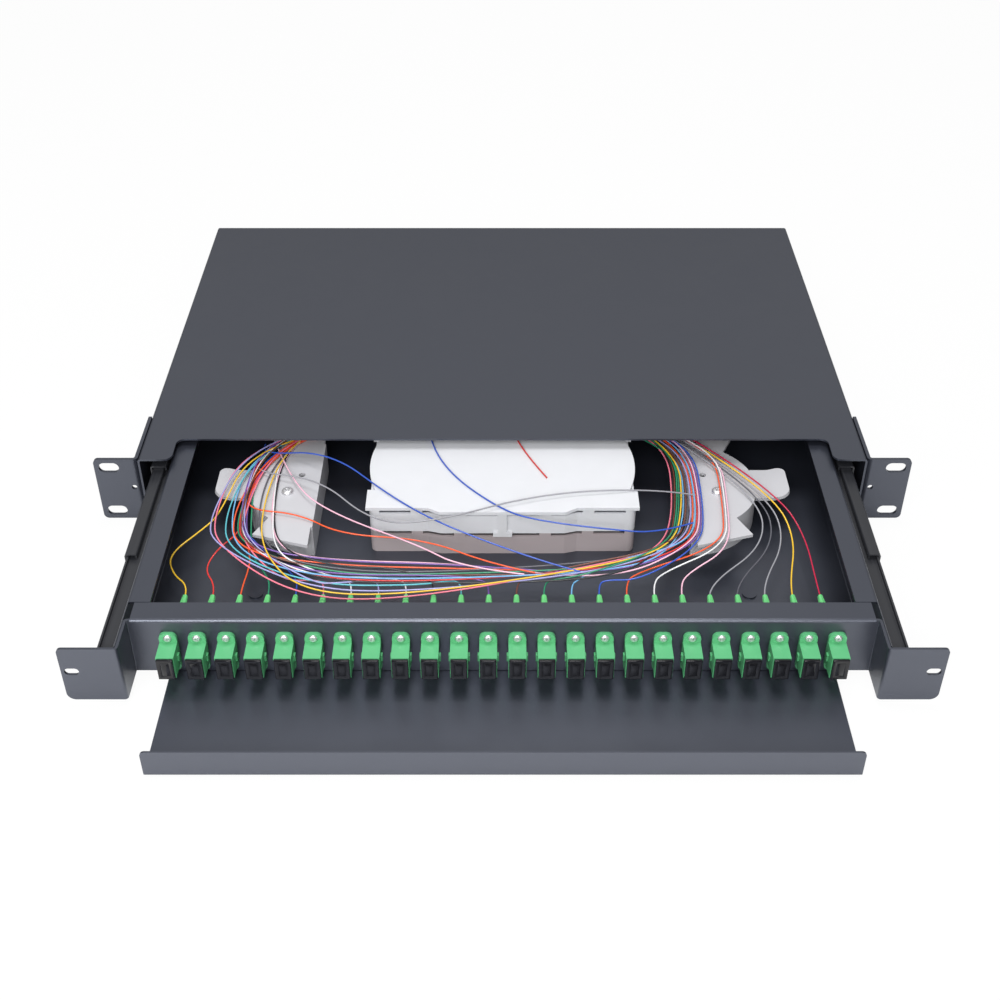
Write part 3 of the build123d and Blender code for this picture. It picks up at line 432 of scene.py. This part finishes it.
def add_block(shape, size, place):
    """Add one box to a bmesh."""
    scale = Matrix.Diagonal((*size, 1.0))
    bmesh.ops.create_cube(shape, size=1.0, matrix=Matrix.Translation(place) @ scale)


def add_crosshead(shape, place, turn, radius, height, facets):
    """Add one pan-head screw with a cross recess; it stands on place along the turned Z axis."""
    rings = []
    for share, rise in HEAD_PROFILE:
        reach = share * radius
        ring = []
        for step in range(facets):
            angle = 2 * math.pi * step / facets
            local = Vector((reach * math.cos(angle), reach * math.sin(angle), rise * height))
            ring.append(shape.verts.new(place + turn @ local))
        rings.append(ring)
    for low, high in zip(rings, rings[1:]):
        for step in range(facets):
            after = (step + 1) % facets
            shape.faces.new((low[step], low[after], high[after], high[step]))
    arm, half = CROSS_ARM * radius, CROSS_HALF * radius
    cross = [
        (half, half), (half, arm), (-half, arm), (-half, half), (-arm, half), (-arm, -half),
        (-half, -half), (-half, -arm), (half, -arm), (half, -half), (arm, -half), (arm, half),
    ]
    upper = [shape.verts.new(place + turn @ Vector((x, y, height))) for x, y in cross]
    lower = [
        shape.verts.new(place + turn @ Vector((CROSS_TAPER * x, CROSS_TAPER * y, CROSS_FOOT * height)))
        for x, y in cross
    ]
    rim = [shape.edges.new((a, b)) for a, b in zip(upper, upper[1:] + upper[:1])]
    outer = [shape.edges.get((a, b)) for a, b in zip(rings[-1], rings[-1][1:] + rings[-1][:1])]
    bmesh.ops.triangle_fill(shape, use_beauty=True, edges=rim + outer)
    for step in range(len(cross)):
        after = (step + 1) % len(cross)
        shape.faces.new((upper[step], upper[after], lower[after], lower[step]))
    shape.faces.new(lower)


def screw_piece(name, places, turns, radius, height, material, facets):
    """One piece that holds several like screws."""
    shape = bmesh.new()
    for place, turn in zip(places, turns):
        add_crosshead(shape, Vector(place), turn, radius, height, facets)
    bmesh.ops.recalc_face_normals(shape, faces=shape.faces)
    piece = link_mesh(name, shape, material)
    piece.data.set_sharp_from_angle(angle=SHARP_ANGLE)
    return piece


def strand(name, points, diameter, material):
    """A fibre as one smooth open curve, with its route points as control points."""
    curve = bpy.data.curves.new(name, "CURVE")
    curve.dimensions = "3D"
    curve.resolution_u = 10
    curve.bevel_depth = diameter / 2
    curve.bevel_resolution = 2
    curve.use_fill_caps = True
    spline = curve.splines.new("NURBS")
    spline.points.add(len(points) - 1)
    for point, place in zip(spline.points, points):
        point.co = (*place, 1.0)
    spline.order_u = 3
    spline.use_endpoint_u = True
    curve.materials.append(material)
    piece = bpy.data.objects.new(name, curve)
    bpy.context.scene.collection.objects.link(piece)
    return piece


def curve_length(piece):
    """Length of a curve's middle line."""
    bare = bpy.data.objects.new("bare_line", piece.data.copy())
    bare.data.bevel_depth = 0.0
    line = bpy.data.meshes.new_from_object(bare)
    places = [vertex.co.copy() for vertex in line.vertices]
    bpy.data.meshes.remove(line)
    bpy.data.curves.remove(bare.data)
    return sum((b - a).length for a, b in zip(places, places[1:]))


def millimetres(points):
    """Route points from millimetres to metres."""
    return [tuple(value / 1000.0 for value in point) for point in points]


class PATCHDRAWER_OT_stage(bpy.types.Operator):
    """Set the camera, the pale floor and the soft studio light"""

    bl_idname = "patch_drawer.stage"
    bl_label = "Studio stage"

    def execute(self, context):
        settings = context.scene.patch_drawer_stage
        camera_data = bpy.data.cameras.new("camera")
        camera_data.lens = settings.lens
        camera_data.sensor_width = 36.0
        camera_data.clip_start = 0.01
        camera = bpy.data.objects.new("camera", camera_data)
        camera.location = settings.camera_place
        camera.rotation_euler = (math.radians(90.0) - settings.camera_pitch, 0.0, 0.0)
        context.scene.collection.objects.link(camera)
        context.scene.camera = camera

        for name, (place, aim, size) in SOFTBOXES.items():
            light_data = bpy.data.lights.new(name + "_softbox", "AREA")
            light_data.shape = "RECTANGLE"
            light_data.size, light_data.size_y = size
            light_data.energy = getattr(settings, name)
            light = bpy.data.objects.new(name + "_softbox", light_data)
            light.location = place
            light.rotation_euler = (Vector(aim) - Vector(place)).to_track_quat("-Z", "Y").to_euler()
            context.scene.collection.objects.link(light)

        world = bpy.data.worlds.new("studio")
        context.scene.world = world
        world.use_nodes = True
        tree = world.node_tree
        ground = tree.nodes["Background"]
        ground.inputs["Color"].default_value = WHITE
        ground.inputs["Strength"].default_value = settings.ambient
        white = tree.nodes.new("ShaderNodeBackground")
        white.inputs["Color"].default_value = WHITE
        rays = tree.nodes.new("ShaderNodeLightPath")
        blend = tree.nodes.new("ShaderNodeMixShader")
        tree.links.new(rays.outputs["Is Camera Ray"], blend.inputs["Fac"])
        tree.links.new(ground.outputs["Background"], blend.inputs[1])
        tree.links.new(white.outputs["Background"], blend.inputs[2])
        tree.links.new(blend.outputs["Shader"], tree.nodes["World Output"].inputs["Surface"])

        paper, shader = new_material("studio_paper", (0.80, 0.80, 0.80), 0.9)
        shader.inputs["Specular IOR Level"].default_value = 0.1
        fibre_grain = noise(paper, 60.0)
        vary_colour(paper, shader, fibre_grain, (0.79, 0.79, 0.79), (0.81, 0.81, 0.81))
        tree = paper.node_tree
        glow = tree.nodes.new("ShaderNodeEmission")
        glow.inputs["Color"].default_value = WHITE
        glow.inputs["Strength"].default_value = 1.0
        rays = tree.nodes.new("ShaderNodeLightPath")
        share = tree.nodes.new("ShaderNodeMath")
        share.operation = "MULTIPLY"
        share.inputs[1].default_value = FLOOR_GLOW
        blend = tree.nodes.new("ShaderNodeMixShader")
        tree.links.new(rays.outputs["Is Camera Ray"], share.inputs[0])
        tree.links.new(share.outputs["Value"], blend.inputs["Fac"])
        tree.links.new(shader.outputs["BSDF"], blend.inputs[1])
        tree.links.new(glow.outputs["Emission"], blend.inputs[2])
        tree.links.new(blend.outputs["Shader"], tree.nodes["Material Output"].inputs["Surface"])
        sheet = bmesh.new()
        bmesh.ops.create_grid(sheet, x_segments=8, y_segments=8, size=4.0)
        floor = link_mesh("floor", sheet, paper, smooth=False)
        floor.location.z = cad_low.z - FLOOR_GAP
        context.scene.view_settings.view_transform = "Standard"
        return {"FINISHED"}


class PATCHDRAWER_OT_sheet_metal(bpy.types.Operator):
    """Finish the housing, rack ears, drawer pan, front panel and cable tray"""

    bl_idname = "patch_drawer.sheet_metal"
    bl_label = "Sheet metal"

    def execute(self, context):
        coat = powder_coat("coated_sheet", tuple(context.scene.patch_drawer_finishes.sheet))
        for name in ("housing_cover", "housing_base", "rack_ear_left", "rack_ear_right", "drawer_pan",
                     "front_panel", "cable_tray"):
            dress(name, coat)
        return {"FINISHED"}


class PATCHDRAWER_OT_slides(bpy.types.Operator):
    """Finish the telescopic slides, their spacers and the cable tray's rivets"""

    bl_idname = "patch_drawer.slides"
    bl_label = "Telescopic slides"

    def execute(self, context):
        finishes = context.scene.patch_drawer_finishes
        colour = tuple(finishes.rails)
        rolled, shader = new_material("rail_steel", colour, 0.36)
        drawn = noise(rolled, 900.0, 2.0, 0.5, (1.0, 0.02, 1.0))
        vary_colour(rolled, shader, drawn, shade(colour, 0.8), shade(colour, 1.25))
        vary_roughness(rolled, shader, drawn, 0.30, 0.44)
        add_bump(rolled, shader, drawn, 0.2, 0.00002)
        for side in ("left", "right"):
            for member in ("cabinet_rail_", "middle_rail_", "drawer_rail_"):
                dress(member + side, rolled)
        dress("rail_spacers", rolled)
        dress("tray_rivets", powder_coat("rivet_coat", tuple(finishes.sheet)))
        return {"FINISHED"}


class PATCHDRAWER_OT_adapters(bpy.types.Operator):
    """Finish the adapter row and add its crosshead screws"""

    bl_idname = "patch_drawer.adapters"
    bl_label = "Adapters"

    def execute(self, context):
        finishes = context.scene.patch_drawer_finishes
        screws = context.scene.patch_drawer_screws
        dress("adapters", moulded_plastic("adapter_green", tuple(finishes.adapters), 0.40))
        soften("adapters", 0.00035)
        dress("pigtail_connectors", moulded_plastic("boot_green", tuple(finishes.boots), 0.48))
        flange_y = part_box("front_panel")[0].y + PANEL_RECESS - ADAPTER_FLANGE_DEPTH
        facing = Matrix.Rotation(math.radians(90.0), 3, "X")
        places, turns = [], []
        for index, x in enumerate(port_xs):
            for side in (-1, 1):
                places.append((x, flange_y, port_z + side * screws.adapter_offset))
                turns.append(facing @ Matrix.Rotation(math.radians(37.0 * index + 20.0 * side), 3, "Z"))
        piece = screw_piece("adapter_screws", places, turns, screws.adapter_head / 2, ADAPTER_SCREW_HEIGHT,
                            zinc_material(), screws.facets)
        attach(piece, "drawer")
        return {"FINISHED"}


class PATCHDRAWER_OT_dust_caps(bpy.types.Operator):
    """Make the dust caps with their dished faces"""

    bl_idname = "patch_drawer.dust_caps"
    bl_label = "Dust caps"

    def execute(self, context):
        colour = tuple(context.scene.patch_drawer_finishes.caps)
        glossy, shader = new_material("cap_black", colour, 0.14)
        sink = noise(glossy, 300.0, 1.0)
        vary_colour(glossy, shader, sink, shade(colour, 0.8), shade(colour, 1.4))
        vary_roughness(glossy, shader, sink, 0.10, 0.18)
        add_bump(glossy, shader, sink, 0.30, 0.00012)
        shader.inputs["Specular IOR Level"].default_value = 0.4
        low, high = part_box(caps[0])
        size = high - low
        shape = bmesh.new()
        body = size - Vector(CAP_BODY_INSET)
        add_block(shape, body, (0.0, (size.y + CAP_BODY_INSET[1]) / 2, 0.0))
        add_block(shape, (size.x, CAP_RIM, size.z), (0.0, CAP_RIM / 2, 0.0))
        bmesh.ops.bevel(shape, geom=shape.edges[:], offset=CAP_ROUND, segments=2, profile=0.6, affect="EDGES")
        front = min(shape.faces, key=lambda face: face.calc_center_median().y - 10.0 * face.calc_area())
        for thickness, depth in CAP_DISH:
            bmesh.ops.inset_individual(shape, faces=[front], thickness=thickness, depth=depth)
        mesh = bpy.data.meshes.new("dust_cap")
        shape.to_mesh(mesh)
        shape.free()
        mesh.materials.append(glossy)
        mesh.shade_smooth()
        mesh.set_sharp_from_angle(angle=SHARP_ANGLE)
        for number, (name, x) in enumerate(zip(caps, port_xs), start=1):
            piece = bpy.data.objects.new(f"dust_cap_shell_{number:02d}", mesh)
            piece.location = (x, low.y, port_z)
            context.scene.collection.objects.link(piece)
            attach(piece, f"port_cap_{number:02d}")
            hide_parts(name)
        return {"FINISHED"}


class PATCHDRAWER_OT_splice_stack(bpy.types.Operator):
    """Finish the splice trays, their lid and the latch; the lower tray's darker white is painted shade"""

    bl_idname = "patch_drawer.splice_stack"
    bl_label = "Splice trays"

    def execute(self, context):
        finishes = context.scene.patch_drawer_finishes
        white = thin_plastic("tray_white", tuple(finishes.trays))
        for name in ("splice_tray_upper", "splice_lid", "splice_latch"):
            dress(name, white)
        # The lower tray gets a darker copy of the tray white as painted shade
        dress("splice_tray_lower", thin_plastic("tray_grey", tuple(finishes.lower_tray_painted_shade)))
        soften("splice_lid", 0.0005)
        soften("splice_latch", 0.0003)
        return {"FINISHED"}


class PATCHDRAWER_OT_fibre_guides(bpy.types.Operator):
    """Finish the fibre guides and their screws"""

    bl_idname = "patch_drawer.fibre_guides"
    bl_label = "Fibre guides"

    def execute(self, context):
        screws = context.scene.patch_drawer_screws
        satin = moulded_plastic("guide_white", tuple(context.scene.patch_drawer_finishes.guides), 0.38, 0.03)
        for name in ("fibre_guide_left", "fibre_guide_right"):
            dress(name, satin)
            soften(name, 0.0004)
        low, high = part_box("guide_screws")
        middle_y = (low.y + high.y) / 2
        places = [(x, middle_y, guide_top) for x in (low.x + HEAD_RADIUS, high.x - HEAD_RADIUS)]
        turns = [Matrix.Rotation(angle, 3, "Z") for angle in (0.4, 1.0)]
        piece = screw_piece("guide_screw_heads", places, turns, HEAD_RADIUS, GUIDE_SCREW_HEIGHT,
                            zinc_material(), screws.facets)
        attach(piece, "drawer")
        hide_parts("guide_screws")
        return {"FINISHED"}


class PATCHDRAWER_OT_housing_hardware(bpy.types.Operator):
    """Finish the rear grommets and the rack-ear screws"""

    bl_idname = "patch_drawer.housing_hardware"
    bl_label = "Housing hardware"

    def execute(self, context):
        screws = context.scene.patch_drawer_screws
        rubber, shader = new_material("grommet_rubber", (0.018, 0.018, 0.019), 0.72)
        bloom = noise(rubber, 700.0, 3.0)
        vary_colour(rubber, shader, bloom, (0.014, 0.014, 0.015), (0.028, 0.028, 0.029))
        add_bump(rubber, shader, bloom, 0.3, 0.00004)
        for name in ("cable_grommet_left", "cable_grommet_right"):
            dress(name, rubber)
        low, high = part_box("ear_screws")
        middle_y = (low.y + high.y) / 2
        places, turns = [], []
        for x, facing in ((low.x + EAR_SCREW_HEIGHT, -90.0), (high.x - EAR_SCREW_HEIGHT, 90.0)):
            outward = Matrix.Rotation(math.radians(facing), 3, "Y")
            for z in (low.z + HEAD_RADIUS, high.z - HEAD_RADIUS):
                places.append((x, middle_y, z))
                turns.append(outward @ Matrix.Rotation(900.0 * z, 3, "Z"))
        piece = screw_piece("ear_screw_heads", places, turns, HEAD_RADIUS, EAR_SCREW_HEIGHT,
                            zinc_material(), screws.facets)
        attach(piece, "housing")
        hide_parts("ear_screws")
        return {"FINISHED"}


def drift(seed, amount):
    """A small fixed offset that differs from strand to strand."""
    return amount * math.sin(12.9898 * seed)


def left_side(lane):
    """Route points over the left guide, from the rear to the front."""
    rear_x, middle_x, front_x, z = LEFT_LANES[lane]
    return [
        (rear_x, 30.0 + drift(lane + 5, 6.0), z),
        (middle_x, -32.0 + drift(lane + 2, 7.0), z),
        (front_x, -63.0 + drift(lane + 7, 3.0), z - 0.8),
    ]


def front_run(lane):
    """Route points behind the boots, from left to right; the strands cross on the way and sag."""
    y = FRONT_LANES[lane]
    y_right = -84.0 + 0.8 * ((lane * 5 + 2) % 23)
    z = -1.4 + 0.1 * lane + 0.9 * (lane % 2)
    return [
        (-92.0 - 0.9 * lane + drift(lane, 4.0), y, z),
        (-38.0 + drift(lane + 4, 14.0), y - 1.0, z - 1.0),
        (62.0 + drift(lane + 8, 8.0), y_right, z),
    ]


def right_side(lane):
    """Route points over the right guide, from the rear to the front."""
    outer = lane >= OUTER_LANE
    x = 104.8 + 1.5 * lane if outer else 101.5 + 1.05 * lane
    z = (6.0 if outer else 5.0) + 1.0 * (lane % 2) + 0.05 * lane
    front_y = min(-59.5, -56.0 - 0.33 * lane + drift(lane + 5, 2.0))
    return [
        (x + drift(lane, 0.8), 34.0 + drift(lane + 6, 6.0), z),
        (x - 2.0 + 0.1 * lane - drift(lane, 0.8), -26.0 - 0.3 * lane + drift(lane + 1, 4.0), z),
        (x - 13.0 + 0.37 * lane + drift(lane + 2, 2.0), front_y, z - 0.8),
    ]


def rear_run(lane):
    """Route points behind the splice trays, from left to right."""
    y = 57.5 + 0.5 * lane
    z = 5.2 + 0.95 * (lane % 3)
    return [(-104.0, y, z), (-20.0, y + 0.5, z), (66.0, y, z)]


def pigtail_routes():
    """Routes of all the pigtails in millimetres: lead, turns of the loop and end at the splice trays."""
    left_lanes, front_lanes, right_lanes = iter(LEFT_ORDER), iter(FRONT_ORDER), iter(RIGHT_ORDER)
    rear_lanes = itertools.count()
    tip_y, tip_z = 1000.0 * boot_tip_y, 1000.0 * port_z
    wall_y = 1000.0 * tray_rear
    routes = []
    for number, x in enumerate((1000.0 * place for place in port_xs), start=1):
        route = [(x, tip_y - 1.0, tip_z), (x, tip_y + 9.0, tip_z)]
        leftward = number <= LAST_LEFT_PORT
        side = -1.0 if leftward else 1.0
        if number in LEFT_JOINS:
            route += [(x + step, y, z) for step, y, z in LEFT_JOINS[number]]
            route += left_side(next(left_lanes))[1::-1]
        elif number <= LAST_FRONT_PORT:
            run = front_run(next(front_lanes))
            near = run[0] if leftward else run[2]
            route += [(x + side * 4.0, tip_y + 13.0, tip_z + 0.6), (x + side * 23.0, near[1], near[2])]
            if leftward:
                route += [near] if x - 30.0 > near[0] else []
                route += left_side(next(left_lanes))[::-1]
            else:
                route += right_side(next(right_lanes))[::-1]
        elif number <= LAST_GUIDE_PORT:
            route += [(x + 5.0, -74.0, -2.4)] + right_side(next(right_lanes))[::-1]
        else:
            step = number - LAST_GUIDE_PORT - 1
            route += [
                (150.0 + 6.0 * step, -50.0 + 2.0 * step, -2.0),
                (150.0 + 3.0 * step, -18.0, 6.8 + 0.3 * step),
                (101.0 + 3.0 * step, 50.0, 7.0),
            ]
        if leftward and number % 2 == 0:
            route += rear_run(next(rear_lanes)) + right_side(next(right_lanes))
            route += front_run(next(front_lanes))[::-1] + left_side(next(left_lanes))[::-1]
        if not leftward and number % 2 == 1:
            route += rear_run(next(rear_lanes))[::-1] + left_side(next(left_lanes))
            route += front_run(next(front_lanes)) + right_side(next(right_lanes))[::-1]
        end_x = ENTRY_X + ENTRY_STEP * (number - 1)
        end_z = ENTRY_Z + ENTRY_RISE * number
        last_run = rear_run(next(rear_lanes))[::1 if leftward else -1]
        route += [point for point in last_run if side * (point[0] - end_x) > 14.0]
        route += [
            (end_x + side * 5.0, last_run[0][1], end_z),
            (end_x, wall_y + 8.0, end_z),
            (end_x, wall_y, end_z),
        ]
        routes.append(route)
    return routes


class PATCHDRAWER_OT_pigtail_fibres(bpy.types.Operator):
    """Lay one fibre from each boot round the guides to the splice trays"""

    bl_idname = "patch_drawer.pigtail_fibres"
    bl_label = "Pigtail fibres"

    def execute(self, context):
        settings = context.scene.patch_drawer_fibres
        for number, (jacket, route) in enumerate(zip(PORT_JACKETS, pigtail_routes()), start=1):
            points = millimetres(route)
            piece = strand(f"pigtail_{number:02d}", points, settings.diameter, jacket_material(jacket))
            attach(piece, "drawer")
            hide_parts("pigtail_leads", "fibre_loop")
            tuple(points[0])
            curve_length(piece)
        return {"FINISHED"}


class PATCHDRAWER_OT_loose_fibres(bpy.types.Operator):
    """Lay the loose strands over the splice lid and the left guide"""

    bl_idname = "patch_drawer.loose_fibres"
    bl_label = "Loose fibres"

    def execute(self, context):
        settings = context.scene.patch_drawer_fibres
        for index, (jacket, far_end, route) in enumerate(LOOSE_STRANDS, start=1):
            points = millimetres(route)
            piece = strand(f"loose_strand_{index}", points, settings.diameter, jacket_material(jacket))
            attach(piece, "drawer")
            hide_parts("loose_fibres")
            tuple(points[0])
            curve_length(piece)
        return {"FINISHED"}


class VIEW3D_PT_patch_drawer(bpy.types.Panel):
    """Lists the patch drawer's settings and pieces"""

    bl_idname = "VIEW3D_PT_patch_drawer"
    bl_label = "Patch drawer"
    bl_space_type = "VIEW_3D"
    bl_region_type = "UI"
    bl_category = "Patch drawer"

    def draw(self, context):
        layout = self.layout
        for group in ("finishes", "fibres", "screws", "stage"):
            settings = getattr(context.scene, "patch_drawer_" + group)
            box = layout.box()
            for key in settings.__annotations__:
                box.prop(settings, key)
        for operator in operators:
            layout.operator(operator.bl_idname)


operators = (
    PATCHDRAWER_OT_stage,
    PATCHDRAWER_OT_pigtail_fibres,
    PATCHDRAWER_OT_loose_fibres,
    PATCHDRAWER_OT_sheet_metal,
    PATCHDRAWER_OT_slides,
    PATCHDRAWER_OT_adapters,
    PATCHDRAWER_OT_dust_caps,
    PATCHDRAWER_OT_splice_stack,
    PATCHDRAWER_OT_fibre_guides,
    PATCHDRAWER_OT_housing_hardware,
)
groups = {
    "finishes": PatchDrawerFinishes,
    "fibres": PatchDrawerFibres,
    "screws": PatchDrawerScrews,
    "stage": PatchDrawerStage,
}


def register():
    for cls in (*groups.values(), *operators, VIEW3D_PT_patch_drawer):
        bpy.utils.register_class(cls)
    for name, cls in groups.items():
        setattr(bpy.types.Scene, "patch_drawer_" + name, PointerProperty(type=cls))


def unregister():
    for name in groups:
        delattr(bpy.types.Scene, "patch_drawer_" + name)
    for cls in (VIEW3D_PT_patch_drawer, *reversed(operators), *groups.values()):
        bpy.utils.unregister_class(cls)


def main():
    register()
    bpy.ops.patch_drawer.stage()
    bpy.ops.patch_drawer.pigtail_fibres()
    bpy.ops.patch_drawer.loose_fibres()
    bpy.ops.patch_drawer.sheet_metal()
    bpy.ops.patch_drawer.slides()
    bpy.ops.patch_drawer.adapters()
    bpy.ops.patch_drawer.dust_caps()
    bpy.ops.patch_drawer.splice_stack()
    bpy.ops.patch_drawer.fibre_guides()
    bpy.ops.patch_drawer.housing_hardware()


if __name__ == "__main__":
    main()
